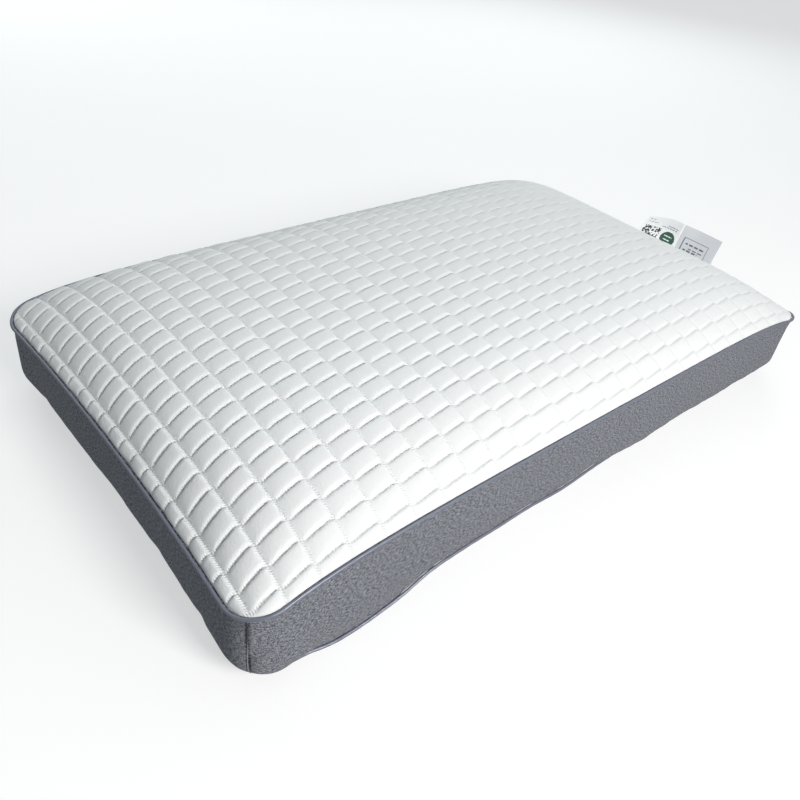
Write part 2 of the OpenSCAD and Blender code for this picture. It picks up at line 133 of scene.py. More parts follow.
# The bottom seam along the front hangs low towards the left end, and from its step on is pulled
# up
HANG, LIFT, STEP_X, STEP_L = 0.0125, 0.0075, -0.202, 0.009
RIGHT_LIFT, RIGHT_START = 0.030, 0.110
SEAM_WAVES = ((0.118, 0.0010, 0.4), (0.071, 0.0006, 2.1))
# Where the bottom piping shows along the front; elsewhere the wall curls under and hides it
SHOWN_START, SHOWN_END, HIDE = -0.288, 0.012, 0.0055


def eased(x, start, reach):
    """0 well before start and 1 well after it, as 1 / (1 + exp(-distance / reach))."""
    return 1 / (1 + np.exp(-(x - start) / reach))


def waves(s, table):
    """Sum of sine waves along s, each with its length, height and phase."""
    return sum(height * np.sin(2 * np.pi * s / length + phase) for length, height, phase in table)


def low_z(x, y):
    """Height of the underside: flat in the middle, curling up to the seam as (1 - distance /
    reach)² near the edges, and at the front a low stretch, a step and slow waves."""
    end = np.maximum(0, 1 - (HALF_L - TUCK_END - np.abs(x)) / RISE_REACH) ** 2
    side = np.maximum(0, 1 - (HALF_W - TUCK_SIDE - np.abs(y)) / RISE_REACH) ** 2
    height = RISE_END * end + RISE_SIDE * side - RISE_SHARED * end * side
    front = LIFT * eased(x, STEP_X, STEP_L) - HANG * eased(-x, -STEP_X, STEP_L)
    front = front + waves(x, SEAM_WAVES) + RIGHT_LIFT * np.maximum(0, x - RIGHT_START)
    return height + side * (1 - 0.6 * end) * np.where(y < 0, front, 0.2 * waves(x, SEAM_WAVES))


def top_flat(q, inset):
    return outline(q, HALF_L, HALF_W, inset)


def shown_along(x):
    """1 along the front where the bottom piping shows, 0 beyond, eased at both ends."""
    return eased(x, SHOWN_START, 0.006) * eased(-x, -SHOWN_END, 0.016)


def hidden(q):
    """1 where the bottom piping is hidden under the wall, 0 where it shows."""
    x, y = outline(q, HALF_L - TUCK_END, HALF_W - TUCK_SIDE, 0)
    return 1 - shown_along(x) * np.where(y < -HALF_W + 0.02, 1, 0)


def low_flat(q, inset):
    return outline(q, HALF_L - TUCK_END, HALF_W - TUCK_SIDE, inset + HIDE * hidden(q))


def top_seam(q):
    return top_z(*top_flat(q, PANEL_INSET)) - SEAM_DROP


def low_seam(q):
    return low_z(*low_flat(q, PANEL_INSET)) + SEAM_DROP


def wall(q, inset, z):
    """Points of the side wall: straight down from the top outline, then easing in to the tucked
    bottom outline with a power of the share of the way down, 2 where the piping shows and 4
    where it is hidden."""
    under = hidden(q)
    top_x, top_y = pulled(*top_flat(q, inset))
    low_x, low_y = pulled(*low_flat(q, inset))
    span = TUCK_TOP - low_seam(q) - LOW_WALL * (1 - under)
    share = np.clip((TUCK_TOP - z) / span, 0, 1) ** (2 + 2 * under)
    return np.stack(np.broadcast_arrays(
        top_x + share * (low_x - top_x), top_y + share * (low_y - top_y), z), -1)


def even_q(start, end, step):
    """Values of q from start to end, about step apart along the wall."""
    dense = np.linspace(start, end, 6000)
    x, y = pulled(*top_flat(dense, WALL_INSET))
    s = np.concatenate([[0], np.cumsum(np.hypot(np.diff(x), np.diff(y)))])
    count = max(2, int(round(s[-1] / step)) + 1)
    return np.interp(np.linspace(0, s[-1], count), s, dense), np.linspace(0, s[-1], count)


# ---- meshes ----


def grid(rows, cols, loop_rows=False, loop_cols=False):
    """Corners of the quads of a grid, as row and column numbers that run on past a loop's end.
    A face points along rows' direction x columns' direction."""
    i, j = np.meshgrid(
        np.arange(rows if loop_rows else rows - 1),
        np.arange(cols if loop_cols else cols - 1), indexing="ij")
    i, j = i.ravel(), j.ravel()
    return np.stack([i, i + 1, i + 1, i], 1), np.stack([j, j, j + 1, j + 1], 1)


def mesh_piece(name, points, faces, corner_uv=None):
    """One object from points and faces of three or four corners; corner_uv has a pair for each
    corner."""
    mesh = bpy.data.meshes.new(name)
    mesh.from_pydata(np.reshape(points, (-1, 3)).tolist(), [], faces)
    mesh.polygons.foreach_set("use_smooth", np.ones(len(mesh.polygons), bool))
    if corner_uv is not None:
        layer = mesh.uv_layers.new(name="cloth")
        layer.data.foreach_set("uv", np.ravel(corner_uv).astype(np.float32))
    mesh.update()
    obj = bpy.data.objects.new(name, mesh)
    bpy.context.scene.collection.objects.link(obj)
    return obj


def grid_piece(name, points, u, v, loop_rows=False, loop_cols=False):
    """One object from a grid of points, with u along its rows and v along its columns. A looped
    side's u or v has one value more than the grid."""
    rows, cols = points.shape[:2]
    i, j = grid(rows, cols, loop_rows, loop_cols)
    uv = np.stack([u[i], v[j]], -1) if np.ndim(u) == 1 else np.stack([u[i, j], v[i, j]], -1)
    return mesh_piece(name, points, ((i % rows) * cols + j % cols).tolist(), uv)


def done(obj, material, replaces=(), body="cover"):
    """Finishes a piece: its material, its body and the CAD nodes it stands for."""
    obj.data.materials.append(material)
    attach(obj, body)
    if replaces:
        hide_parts(*replaces)
    return obj


def thicken(obj, thickness):
    """Gives a sheet its thickness, inwards from the face it was made with."""
    solid = obj.modifiers.new("thickness", "SOLIDIFY")
    solid.thickness = thickness
    solid.offset = -1
    solid.use_even_offset = False
    return obj


def stitch_row(name, centres, along, length, radius, material):
    """Short thread stitches at centres, each a spindle of six sides that lies along its
    direction: its radius is that of an ellipse."""
    rings, sides = 5, 6
    t = np.linspace(-0.8, 0.8, rings)
    angle = np.arange(sides) * 2 * np.pi / sides
    body = np.stack(np.broadcast_arrays(
        t[:, None] * length / 2,
        (np.sqrt(1 - t**2) * radius)[:, None] * np.cos(angle),
        (np.sqrt(1 - t**2) * radius)[:, None] * np.sin(angle)), -1).reshape(-1, 3)
    shape = np.vstack([body, [[-length / 2, 0, 0], [length / 2, 0, 0]]])
    i, j = grid(rings, sides, loop_cols=True)
    quads = i * sides + j % sides
    k = np.arange(sides)
    first = np.stack([np.full(sides, rings * sides), k, (k + 1) % sides], 1)
    base = (rings - 1) * sides
    last = np.stack([np.full(sides, rings * sides + 1), base + k, base + (k + 1) % sides], 1)
    along = along / np.linalg.norm(along, axis=1, keepdims=True)
    helper = np.where(np.abs(along[:, 2:]) > 0.9, [[1.0, 0, 0]], [[0, 0, 1.0]])
    across = np.cross(helper, along)
    across /= np.linalg.norm(across, axis=1, keepdims=True)
    third = np.cross(along, across)
    axes = np.stack([along, across, third], 1)
    points = centres[:, None, :] + np.einsum("pk,nkc->npc", shape, axes)
    offsets = (np.arange(len(centres)) * len(shape))[:, None, None]
    faces = (quads[:, ::-1] + offsets).reshape(-1, 4).tolist()
    for fan in (first, last[:, ::-1]):
        faces += (fan + offsets).reshape(-1, 3).tolist()
    return done(mesh_piece(name, points, faces), material)


# ---- materials ----


def linear(hex_colour):
    """sRGB hex to a linear RGBA."""
    c = np.array([int(hex_colour[i:i + 2], 16) for i in (1, 3, 5)]) / 255
    return (*np.where(c <= 0.04045, c / 12.92, ((c + 0.055) / 1.055) ** 2.4), 1.0)


def add(tree, kind, inputs=None, out=0, **settings):
    """Adds a shader node with its own settings and gives back one of its outputs. Inputs go
    to its sockets, as values or as links from other nodes' outputs."""
    made = tree.nodes.new("ShaderNode" + kind)
    for key, value in settings.items():
        setattr(made, key, value)
    for key, value in (inputs or {}).items():
        if isinstance(value, bpy.types.NodeSocket):
            tree.links.new(value, made.inputs[key])
        else:
            made.inputs[key].default_value = value
    return made.outputs[out]


def material(name, colour, roughness, **sockets):
    """A Principled material with constants on its sockets: its tree and shader come with it."""
    made = bpy.data.materials.new(name)
    made.use_nodes = True
    shader = made.node_tree.nodes["Principled BSDF"]
    shader.inputs["Base Color"].default_value = linear(colour)
    shader.inputs["Roughness"].default_value = roughness
    for key, value in sockets.items():
        shader.inputs[key.replace("_", " ")].default_value = value
    made.diffuse_color = linear(colour)
    return made, made.node_tree, shader


def grains(tree, place, size, detail=2.0, roughness=0.5, stretch=(1.0, 1.0, 1.0)):
    """A pattern of grains about size metres across, on a place vector in metres. They are
    longer along an axis whose stretch is below 1."""
    scaled = add(tree, "Mapping", {"Vector": place, "Scale": stretch})
    return add(tree, "TexNoise", {
        "Vector": scaled, "Scale": 1 / size, "Detail": detail, "Roughness": roughness})


def summed(tree, *parts):
    """The sum of patterns, each times its share."""
    total = 0.0
    for pattern, share in parts:
        total = add(tree, "Math", {0: pattern, 1: share, 2: total}, operation="MULTIPLY_ADD")
    return total


def tinted(tree, base, tint, pattern, share=1.0):
    """Colour base, with up to a share of tint as the pattern goes from 0 to 1."""
    base, tint = (linear(c) if isinstance(c, str) else c for c in (base, tint))
    factor = add(tree, "Math", {0: pattern, 1: share}, operation="MULTIPLY")
    return add(tree, "Mix", {"Factor": factor, 6: base, 7: tint}, out=2, data_type="RGBA")


def surfaced(tree, shader, tone, height, distance):
    """Gives a shader its colour, and a bump from a height whose 1 stands for distance metres."""
    tree.links.new(tone, shader.inputs["Base Color"])
    bump = add(tree, "Bump", {"Height": height, "Distance": distance})
    tree.links.new(bump, shader.inputs["Normal"])


def sine_waves(tree, place, length):
    """Ridges that repeat every length along a coordinate, between -1 and 1."""
    angle = add(tree, "Math", {0: place, 1: 2 * np.pi / length}, operation="MULTIPLY")
    return add(tree, "Math", {0: angle}, operation="SINE")


def quilted_knit():
    """Polyester double knit over wadding, quilted by machine. Gives a soft matt white with a
    fine knitted grain, and ladder stitches across every line."""
    made, tree, shader = material(
        "polyester_knit_quilted", "#EDEFEF", 0.82, Sheen_Weight=0.25, Sheen_Roughness=0.45)
    cells = add(tree, "SeparateXYZ", {0: add(tree, "UVMap", uv_map="cloth")}).node.outputs
    place = add(tree, "TexCoord", out="Object")
    # Ladder stitches 2.1 mm apart, each 3.6 mm long across its line
    stitch = 0.0021
    near_line, ridges = [], []
    for cell, pitch in zip(cells[:2], (PITCH_X, PITCH_Y)):
        share = add(tree, "Math", {0: cell, 1: 0.5}, operation="PINGPONG")
        distance = add(tree, "Math", {0: share, 1: pitch}, operation="MULTIPLY")
        near_line.append(add(tree, "MapRange", {
            "Value": distance, "From Min": 0.0010, "From Max": 0.0021,
            "To Min": 1.0, "To Max": 0.0}, interpolation_type="SMOOTHSTEP"))
        ridges.append(sine_waves(tree, cell, stitch / pitch))
    # Beside the lines of one direction, the ridges are those along the other
    ladder = add(tree, "Math", {
        0: add(tree, "Math", {0: ridges[1], 1: near_line[0]}, operation="MULTIPLY"),
        1: add(tree, "Math", {0: ridges[0], 1: near_line[1]}, operation="MULTIPLY"),
    }, operation="ADD")
    # Knitted courses are 0.8 mm apart; drawn at 1.3 mm so that they show
    grain = grains(tree, place, 0.0013, 3.0, 0.6, (1.0, 0.55, 0.8))
    fuzz = grains(tree, place, 0.0042)
    seam = add(tree, "Math", {0: near_line[0], 1: near_line[1]}, operation="MAXIMUM")
    tone = tinted(tree, "#EFF1F1", "#DFE2E2", grain, 0.5)
    tone = tinted(tree, tone, "#D3D8D9", fuzz, 0.14)
    # Painted shade: the hollows along the stitched lines are tinted a little darker
    tone = tinted(tree, tone, "#CDD2D5", seam, 0.10)
    surfaced(tree, shader, tone, summed(tree, (grain, 0.6), (ladder, 0.22)), 0.0006)
    return made


def melange_weave():
    """Heathered polyester canvas, plain woven from dark and light slub yarns. Gives a speckled
    mid grey with short streaks along the yarns and a dry, matt surface."""
    made, tree, shader = material(
        "heathered_polyester_canvas", "#76797F", 0.88, Sheen_Weight=0.15, Sheen_Roughness=0.5)
    place = add(tree, "UVMap", uv_map="cloth")
    # Yarns lie 0.5 mm apart; drawn at about 1 mm, with slubs of 4 mm, so that they show
    weft = grains(tree, place, 0.0008, 2.0, 0.7, (0.28, 1.0, 1.0))
    warp = grains(tree, place, 0.0008, 2.0, 0.7, (1.0, 0.3, 1.0))
    speck = grains(tree, place, 0.0009, 3.0, 0.8)
    cloud = grains(tree, place, 0.030)
    mixed = summed(tree, (weft, 0.46), (warp, 0.24), (speck, 0.30))
    light_yarn = add(tree, "MapRange", {"Value": mixed, "From Min": 0.45, "From Max": 0.56})
    tone = tinted(tree, "#24272F", "#A6AAB3", light_yarn)
    tone = tinted(tree, tone, "#5E6168", cloud, 0.25)
    surfaced(tree, shader, tone, mixed, 0.0009)
    return made


def satin_piping():
    """Bias-cut polyester satin over a cord. Gives a cool silver with a soft lengthwise gleam
    and faint slanting threads."""
    made, tree, shader = material(
        "polyester_satin_bias", "#7D8293", 0.38, Metallic=0.25,
        Sheen_Weight=0.15, Sheen_Roughness=0.3)
    place = add(tree, "UVMap", uv_map="cloth")
    # Threads of 0.3 mm on the bias, drawn at 1.2 mm so that they show
    slant = add(tree, "Mapping", {"Vector": place, "Rotation": (0, 0, np.pi / 4)})
    threads = grains(tree, slant, 0.0012, stretch=(0.15, 1.0, 1.0))
    folds = grains(tree, place, 0.006, stretch=(1.0, 0.2, 1.0))
    tone = tinted(tree, "#8F94A2", "#5C606F", threads, 0.6)
    tone = tinted(tree, tone, "#4C5061", folds, 0.3)
    surfaced(tree, shader, tone, summed(tree, (threads, 1.0), (folds, 1.0)), 0.0002)
    return made


def plain_yarn(name, colour, darker, roughness, size):
    """Spun or woven yarn: a speckled tone and a fine grain of the given size in metres."""
    made, tree, shader = material(name, colour, roughness, Sheen_Weight=0.15)
    grain = grains(tree, add(tree, "TexCoord", out="Object"), size, 3.0, 0.6)
    surfaced(tree, shader, tinted(tree, colour, darker, grain), grain, size * 0.4)
    return made


def tape_weave():
    """Polyester zip tape, woven in narrow lengthwise ribs. Gives a dull dark grey with fine
    ribs."""
    made, tree, shader = material("polyester_zip_tape", "#4A4D54", 0.85)
    place = add(tree, "UVMap", uv_map="cloth")
    across = add(tree, "SeparateXYZ", {0: place}, out=1)
    # Ribs 1.2 mm apart
    ribs = sine_waves(tree, across, 0.0012)
    picks = grains(tree, place, 0.0009, stretch=(1.0, 0.4, 1.0))
    tone = tinted(tree, "#3D4047", "#5A5D64", picks)
    surfaced(tree, shader, tone, summed(tree, (picks, 1.0), (ribs, 0.3)), 0.0003)
    return made


def nylon_coil():
    """Nylon monofilament, dyed and extruded. Gives a dark, slightly glossy plastic with fine
    flow marks."""
    made, tree, shader = material("nylon_monofilament", "#3A3D44", 0.34, IOR=1.53)
    marks = grains(tree, add(tree, "TexCoord", out="Object"), 0.0008)
    surfaced(tree, shader, tinted(tree, "#34373D", "#454951", marks), marks, 0.00005)
    return made


def painted_zinc():
    """Die-cast zinc with a baked dark grey paint. Gives a smooth semi-gloss with a little
    orange peel and rubbed spots."""
    made, tree, shader = material("painted_die_cast_zinc", "#3B3E44", 0.36, Coat_Weight=0.2)
    place = add(tree, "TexCoord", out="Object")
    peel = grains(tree, place, 0.0007)
    rubbed = add(tree, "MapRange", {
        "Value": grains(tree, place, 0.0035, 4.0, 0.7), "From Min": 0.60, "From Max": 0.72})
    surfaced(tree, shader, tinted(tree, "#393C42", "#7C7F84", rubbed, 0.5), peel, 0.00004)
    return made


def pressed_aluminium():
    """Pressed aluminium strip. Gives a pale metal with short rolling marks."""
    made, tree, shader = material("pressed_aluminium", "#B9BBBE", 0.35, Metallic=1.0)
    place = add(tree, "TexCoord", out="Object")
    marks = grains(tree, place, 0.0004, stretch=(0.2, 1.0, 1.0))
    surfaced(tree, shader, tinted(tree, "#C6C8CB", "#9A9DA1", marks), marks, 0.00003)
    return made


def printed_satin():
    """Printed polyester satin ribbon. Gives a smooth whitish cloth with a slight gleam and
    dull ink."""
    made, tree, shader = material(
        "printed_polyester_satin", "#EEF0F2", 0.5, Sheen_Weight=0.2, Emission_Strength=0.2)
    ink = add(tree, "Attribute", out="Color", attribute_name="print")
    place = add(tree, "UVMap", uv_map="cloth")
    threads = grains(tree, place, 0.0009, stretch=(1.0, 0.1, 1.0))
    tone = tinted(tree, ink, "#8E949B", threads, 0.10)
    surfaced(tree, shader, tone, threads, 0.0002)
    # Stands in for the light that comes through thin ribbon
    tree.links.new(tone, shader.inputs["Emission Color"])
    return made


def open_foam():
    """Viscoelastic polyurethane foam, moulded. Gives a creamy matt block with fine open
    cells."""
    made, tree, shader = material("polyurethane_memory_foam", "#EFE9D2", 0.9, Sheen_Weight=0.1)
    place = add(tree, "TexCoord", out="Object")
    cells = add(tree, "TexVoronoi", {"Vector": place, "Scale": 1 / 0.0015})
    surfaced(tree, shader, tinted(tree, "#E2DBC0", "#F4EFDC", cells), cells, 0.0004)
    return made


QUILT = quilted_knit()
CANVAS = melange_weave()
SATIN = satin_piping()
TAPE = tape_weave()
COIL = nylon_coil()
PAINTED = painted_zinc()
ALUMINIUM = pressed_aluminium()
RIBBON = printed_satin()
FOAM = open_foam()
CORD = plain_yarn("spun_cotton_cord", "#E4E2DC", "#C9C6BE", 0.9, 0.0011)
JERSEY = plain_yarn("cotton_jersey", "#EDEDEA", "#D8D8D4", 0.9, 0.0009)
THREAD = plain_yarn("polyester_thread_grey", "#B4B7BD", "#8E9198", 0.6, 0.0007)

# ---- the quilted panels ----

PANEL_EDGE = 0.0031
LOW_HALF_L = HALF_L - TUCK_END - PANEL_EDGE - HIDE
LOW_HALF_W = HALF_W - TUCK_SIDE - PANEL_EDGE - HIDE
# The lines along X slant a little across each cushion and step back at its sides, in shares of
# a pitch
SLANT = 0.21
# The cover is slacker towards the left end, so its cushions stand higher there
SLACK = 0.48

RELIEF, SWELL, QUICK_SWELL, SLOW_SWELL = 0.0022, 0.0013, 0.0010, 0.0060
# How flat the cushions are, and how deep the stitched lines of the top lie in them
FLAT_TOP, FLAT_UNDERSIDE, SUNK_TOP = 0.88, 0.9, 0.72
# Places of the mesh lines in a cell, as distances from its stitched line
CELL_LINES = np.array([0, 0.6, 1.3, 2.1, 3.2, 4.8, 7.6]) * MM


def arc_table(height, half):
    """Distances along a profile of the crown, from its middle, against the flat coordinate."""
    flat = np.linspace(-half, half, 4001)
    s = np.concatenate([[0], np.cumsum(np.hypot(np.diff(flat), np.diff(height(flat))))])
    return flat, s - np.interp(0, flat, s)


TOP_ARC_X = arc_table(lambda x: top_z(x, 0 * x), HALF_L - PANEL_EDGE)
TOP_ARC_Y = arc_table(lambda y: top_z(0 * y, y), HALF_W - PANEL_EDGE)
LOW_ARC_X = arc_table(lambda x: 0 * x, LOW_HALF_L)
LOW_ARC_Y = arc_table(lambda y: 0 * y, LOW_HALF_W)


def mesh_lines(arc, pitch, origin):
    """Flat coordinates of the mesh lines: close together at each stitched line and at the
    edges."""
    flat, s = arc
    first, last = int(np.floor(s[0] / pitch + origin)), int(np.ceil(s[-1] / pitch + origin))
    inner = CELL_LINES[CELL_LINES < pitch * 0.42]
    steps = np.concatenate([inner, [pitch / 2], (pitch - inner[1:])[::-1]])
    lines = ((np.arange(first, last + 1) - origin) * pitch)[:, None] + steps
    lines = np.interp(lines.ravel(), s, flat)
    edge = flat[-1] - np.array([0, 0.4, 0.9, 1.6, 2.6, 4.0, 6.0]) * MM
    lines = lines[np.abs(lines) < edge[-1] - 0.3 * MM]
    return np.concatenate([-edge, lines, edge[::-1]])


def corner_radius(x, y):
    return np.where((x > 0) & (y < 0), RADII[1], RADII[0])


def rounded(x, y, half_l, half_w, inset):
    """A rectangle's grid bent to the panel's round corners: in each corner's square the shares
    p and q become p·sqrt(1 - q²/2) and q·sqrt(1 - p²/2)."""
    r = corner_radius(x, y) - inset
    p = np.clip((np.abs(x) - (half_l - r)) / r, 0, 1)
    q = np.clip((np.abs(y) - (half_w - r)) / r, 0, 1)
    return (x + np.sign(x) * r * p * (np.sqrt(1 - q * q / 2) - 1),
            y + np.sign(y) * r * q * (np.sqrt(1 - p * p / 2) - 1))


def edge_distance(x, y, half_l, half_w, inset):
    """Distance in from a rounded rectangle's edge."""
    r = corner_radius(x, y) - inset
    p, q = np.abs(x) - (half_l - r), np.abs(y) - (half_w - r)
    return r - np.hypot(np.maximum(p, 0), np.maximum(q, 0)) - np.minimum(np.maximum(p, q), 0)


def on_surface(height, upwards):
    """Makes a function that places flat points lift metres out of a surface, along its normal
    from its slopes."""
    def place(x, y, lift):
        h = 1e-4
        z = height(x, y)
        slope_x = (height(x + h, y) - height(x - h, y)) / (2 * h)
        slope_y = (height(x, y + h) - height(x, y - h)) / (2 * h)
        normal = np.stack([-slope_x, -slope_y, np.ones_like(z)], -1)
        normal *= upwards / np.linalg.norm(normal, axis=-1, keepdims=True)
        px, py = pulled(x, y)
        return np.stack([px, py, z], -1) + normal * np.asarray(lift)[..., None]
    return place


# Small puckers of cloth gathered by a seam
PUCKERS = (
    (0.0117, 0.00012, 0.3), (0.0183, 0.00020, 1.9), (0.0291, 0.00028, 4.4),
    (0.047, 0.0003, 2.6))


def quilt_lift(cell_x, cell_y, flatness):
    """Relief of the quilting: 0 on the stitched lines, rising to cushions as 1 - exp(-(distance
    / swell)^1.3). A cushion rises slowly from its left line and falls steeply to its right one.
    """
    from_left = (cell_x - np.floor(cell_x)) * PITCH_X
    from_y = np.abs(cell_y - np.round(cell_y)) * PITCH_Y
    rise = 1 - np.exp(-((from_left / SLOW_SWELL) ** 1.1))
    fall = 1 - np.exp(-(((PITCH_X - from_left) / QUICK_SWELL) ** 1.3))
    swell = rise * fall * (1 - np.exp(-((from_y / SWELL) ** 1.3)))
    dome = np.abs(np.sin(np.pi * cell_x) * np.sin(np.pi * cell_y)) ** 0.7
    return RELIEF * (flatness * swell + (1 - flatness) * dome)


def quilted_panel(name, place, arcs, origin, half_l, half_w, top, node_name):
    """One quilted panel: a fine grid for the skin and shrinking rings for the lining, closed
    round its edge. Its UV counts quilt cells."""
    xs = mesh_lines(arcs[0], PITCH_X, origin[0])
    ys = mesh_lines(arcs[1], PITCH_Y, origin[1])
    if not top:
        ys = ys[::-1]
    inset = PANEL_EDGE if top else PANEL_EDGE + HIDE
    x, y = rounded(*np.meshgrid(xs, ys, indexing="ij"), half_l, half_w, inset)
    cell_x = np.interp(x, *arcs[0]) / PITCH_X + origin[0]
    cell_y = np.interp(y, *arcs[1]) / PITCH_Y + origin[1]
    share = cell_x - np.floor(cell_x)
    by_line = np.exp(-((np.minimum(share, 1 - share) / 0.07) ** 2))
    cell_y = cell_y - SLANT * (share - 0.5) * (1 - by_line)
    inside = edge_distance(x, y, half_l, half_w, inset)
    lift = quilt_lift(cell_x, cell_y, FLAT_TOP if top else FLAT_UNDERSIDE)
    pressed = 1 - np.exp(-inside / 0.0038)
    by_side = np.exp(-(half_w - np.abs(y)) / 0.009) * waves(x, PUCKERS)
    by_end = np.exp(-(half_l - np.abs(x)) / 0.009) * waves(y, PUCKERS)
    sunk = RELIEF * (SUNK_TOP if top else 1.0)
    lift = (lift * (1 - SLACK * x / HALF_L) - sunk) * pressed + by_side + by_end
    lift = lift - 0.0016 * np.exp(-inside / 0.0011)
    if not top:
        lift = np.minimum(lift, 0)
    skin = place(x, y, lift)
    rows, cols = x.shape
    i, j = grid(rows, cols)
    number = np.arange(rows * cols).reshape(rows, cols)
    rim = np.concatenate([number[:-1, 0], number[-1, :-1], number[:0:-1, -1], number[0, :0:-1]])
    base_x, base_y = np.meshgrid(xs, ys, indexing="ij")
    rim_x, rim_y = base_x.ravel()[rim], base_y.ravel()[rim]
    shares = np.array([1, 0.97, 0.9, 0.75, 0.5, 0.25])
    depths = np.array([1.9, 3.4, 4.2, 4.2, 4.2, 4.2]) * MM
    ring_x, ring_y = rounded(
        shares[:, None] * rim_x, shares[:, None] * rim_y, half_l, half_w, inset)
    lining = place(ring_x, ring_y, -np.broadcast_to(depths[:, None], ring_x.shape))
    middle = place(np.zeros(1), np.zeros(1), -depths[-1:])
    count = len(rim)
    rings = np.vstack([rim, rows * cols + np.arange(len(shares) * count).reshape(-1, count)])
    a, b = grid(len(rings), count, loop_cols=True)
    sides = rings[a, b % count]
    end = rows * cols + len(shares) * count
    k = np.arange(count)
    fan = np.stack([rings[-1, k], np.full(count, end), rings[-1, (k + 1) % count]], 1)
    points = np.vstack([skin.reshape(-1, 3), lining.reshape(-1, 3), middle])
    faces = (i * cols + j).tolist() + sides.tolist() + fan.tolist()
    uv = np.stack([cell_x.ravel(), cell_y.ravel()], 1)
    lining_uv = np.stack([
        np.interp(ring_x, *arcs[0]) / PITCH_X, np.interp(ring_y, *arcs[1]) / PITCH_Y], -1)
    uv = np.vstack([uv, lining_uv.reshape(-1, 2) + np.array(origin), [origin]])
    corners = np.concatenate([np.ravel(i * cols + j), sides.ravel(), fan.ravel()])
    piece = done(mesh_piece(name, points, faces, uv[corners]), QUILT, [node_name])
    return piece


def underside(x, y, lift):
    """Places points on the underside. Its front edge reaches out to the bottom piping where
    that shows."""
    reach = HIDE * shown_along(x) * np.clip(-y / LOW_HALF_W, 0, 1) ** 6
    return on_surface(low_z, -1)(x, y - reach, lift)


quilted_panel(
    "quilted_top_panel", on_surface(top_z, 1), (TOP_ARC_X, TOP_ARC_Y), (ORIGIN_X, ORIGIN_Y),
    HALF_L - PANEL_EDGE, HALF_W - PANEL_EDGE, True, "top_panel")
quilted_panel(
    "quilted_bottom_panel", underside, (LOW_ARC_X, LOW_ARC_Y), (0.5, 0.5),
    LOW_HALF_L, LOW_HALF_W, False, "bottom_panel")

# ---- the gussets ----

CANVAS_T = 0.0012
SLOW_WAVES = ((0.19, 0.00045, 0.7), (0.113, 0.0003, 3.3), (0.067, 0.00018, 5.2))
# Creases that run down a gusset from its top seam: place along it, slant, depth and width
FRONT_CREASES = (
    (0.016, -0.35, 0.0011, 0.0045), (0.034, -0.8, 0.0009, 0.006),
    (0.062, -1.1, 0.0006, 0.009))
END_CREASES = ((0.030, 0.5, 0.0009, 0.006), (0.075, 0.9, 0.0006, 0.008))


def creases(s, drop, length, table):
    """Soft folds near both ends of a strip: bell curves across lines that slant with the
    distance below the top seam."""
    total = 0
    for place, slant, depth, width in table:
        for t in (s, length - s):
            total = total - depth * np.exp(-((t - place - slant * drop) / width) ** 2)
    return total


def gusset(name, start, end, low, high, node_name, folds=()):
    """One strip of the wall between two heights, which are functions of q. It turns in behind
    the piping at a seam and into the join at its ends, and ripples a little."""
    q, s = even_q(start, end, 0.0026)
    q, s = q[:, None], s[:, None]
    t = (1 - np.cos(np.linspace(0, np.pi, 30))) / 2
    z_low, z_high = low(q), high(q)
    z = z_low + t * (z_high - z_low)
    from_low, from_high = z - z_low, z_high - z
    length = s[-1, 0]
    turn_in = 0.0013 * (np.exp(-((from_low / 0.0013) ** 2)) + np.exp(-((from_high / 0.0013) ** 2)))
    join = 0.00025 * (np.exp(-s / 0.0006) + np.exp(-(length - s) / 0.0006))
    ripple = waves(s + 0.5 * z, SLOW_WAVES) + creases(s, from_high, length, folds)
    ripple = ripple + waves(s, PUCKERS) * (np.exp(-from_high / 0.010) + np.exp(-from_low / 0.010))
    ripple = ripple * np.clip(np.minimum(from_low, from_high) / 0.004, 0, 1)
    points = wall(q, WALL_INSET + turn_in + join - ripple, z)
    piece = thicken(grid_piece(
        name, points, np.broadcast_to(s, z.shape), z - z_low), CANVAS_T)
    done(piece, CANVAS, [node_name])
    return piece


def under_top(q):
    return top_seam(q) - 0.0003


def over_low(q):
    return low_seam(q) + 0.0003


zip_low, zip_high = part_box("gusset_back_lower")[1].z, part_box("gusset_back_upper")[0].z

gusset("gusset_front_canvas", JOIN_FRONT_LEFT, JOIN_FRONT_RIGHT, over_low, under_top,
       "gusset_front", FRONT_CREASES)
gusset("gusset_right_canvas", JOIN_FRONT_RIGHT, JOIN_BACK_RIGHT, over_low, under_top,
       "gusset_right", END_CREASES)
gusset("gusset_left_canvas", JOIN_BACK_LEFT, 8 + JOIN_FRONT_LEFT, over_low, under_top,
       "gusset_left", END_CREASES)
gusset("gusset_back_upper_canvas", JOIN_BACK_RIGHT, JOIN_BACK_LEFT,
       lambda q: zip_high + 0 * q, under_top, "gusset_back_upper")
gusset("gusset_back_lower_canvas", JOIN_BACK_RIGHT, JOIN_BACK_LEFT,
       over_low, lambda q: zip_low + 0 * q, "gusset_back_lower")

# Thread that shows in the joins, a stitch every 3 mm
join_q = np.array([JOIN_FRONT_LEFT, JOIN_FRONT_RIGHT, JOIN_BACK_RIGHT, JOIN_BACK_LEFT])[:, None]
join_t = np.linspace(0.05, 0.95, 24)
join_z = low_seam(join_q) + join_t * (top_seam(join_q) - low_seam(join_q))
join_points = wall(join_q, WALL_INSET + 0.0002, join_z)
join_along = wall(join_q, WALL_INSET + 0.0002, join_z + 0.001) - join_points
stitch_row("join_stitches", join_points.reshape(-1, 3), join_along.reshape(-1, 3),
           0.0024, 0.00035, THREAD)

